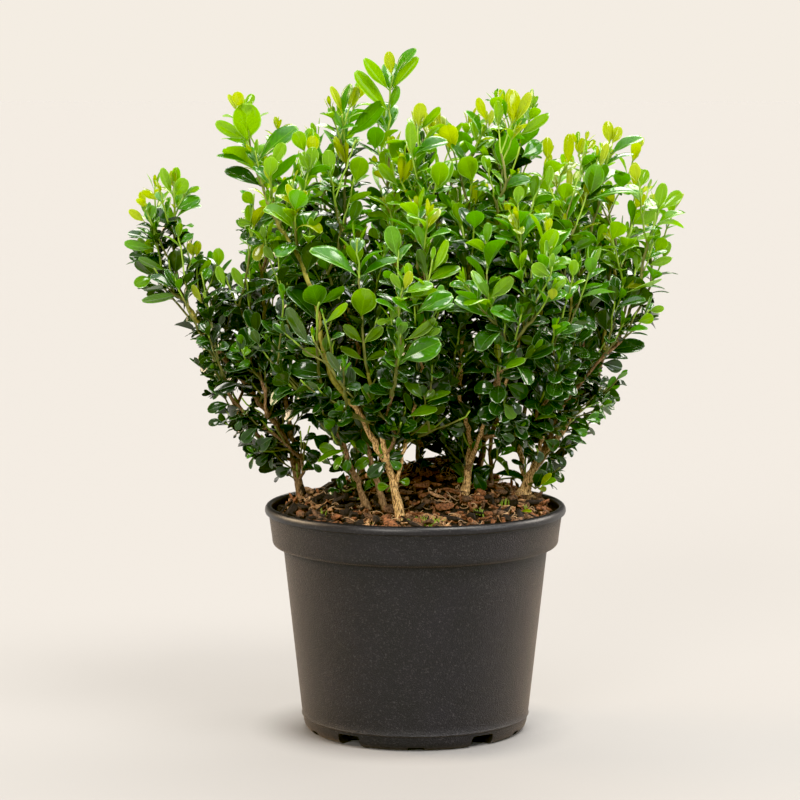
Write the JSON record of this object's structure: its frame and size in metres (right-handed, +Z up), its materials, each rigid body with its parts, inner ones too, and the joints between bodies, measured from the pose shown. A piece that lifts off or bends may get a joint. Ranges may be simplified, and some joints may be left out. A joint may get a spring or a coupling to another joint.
{
  "type": "potted boxwood shrub",
  "caption": "Loose, vase-shaped evergreen box shrub with many bare-footed stems and small glossy leaves, growing in a round plastic nursery pot topped with bark.",
  "frame": {"origin": "centre of the pot's flat underside, on the surface that it stands on", "axes": "+Z up along the pot's axis, -Y towards the viewer, +X to the viewer's right"},
  "size_m": [0.3462, 0.2907, 0.4298],
  "materials": {
    "pot_plastic": "fine-grained black plastic, dull, a little dusty",
    "potting_bark": "loose red-brown bark chips, fibres and dark compost",
    "stem_bark": "tan, finely ribbed bark, green towards the tips",
    "foliage_tip": "glossy yellow-green young leaves",
    "foliage_top": "glossy bright green leaves",
    "foliage_low": "glossy dark green leaves"
  },
  "bodies": {
    "root": {"bough_back_left": "stem_bark", "bough_back_right": "stem_bark", "bough_centre_right": "stem_bark", "bough_left_inner": "stem_bark", "bough_right_rear": "stem_bark", "bough_right_upright": "stem_bark", "foliage_back_left": "foliage_top", "foliage_back_low": "foliage_low", "foliage_back_middle": "foliage_top", "foliage_back_right": "foliage_top", "foliage_front_left": "foliage_low", "foliage_front_low": "foliage_low", "foliage_front_middle": "foliage_top", "foliage_front_right": "foliage_top", "foliage_left_foot": "foliage_low", "foliage_left_low": "foliage_low", "foliage_left_middle": "foliage_low", "foliage_left_outer": "foliage_low", "foliage_left_tip": "foliage_tip", "foliage_middle_low": "foliage_low", "foliage_right_foot": "foliage_low", "foliage_right_low": "foliage_low", "foliage_right_outer": "foliage_low", "foliage_right_tip": "foliage_tip", "foliage_top_left": "foliage_top", "foliage_top_middle": "foliage_top", "foliage_top_right": "foliage_top", "foliage_top_tip": "foliage_tip", "foliage_upper_left": "foliage_top", "foliage_upper_left_tip": "foliage_tip", "foliage_upper_right": "foliage_top", "pot": "pot_plastic", "potting_mix": "potting_bark", "stem_back": "stem_bark", "stem_back_left": "stem_bark", "stem_back_right": "stem_bark", "stem_centre": "stem_bark", "stem_front": "stem_bark", "stem_front_inner": "stem_bark", "stem_front_left": "stem_bark", "stem_left": "stem_bark", "stem_right": "stem_bark", "stem_thin": "stem_bark"}
  },
  "joints": []
}
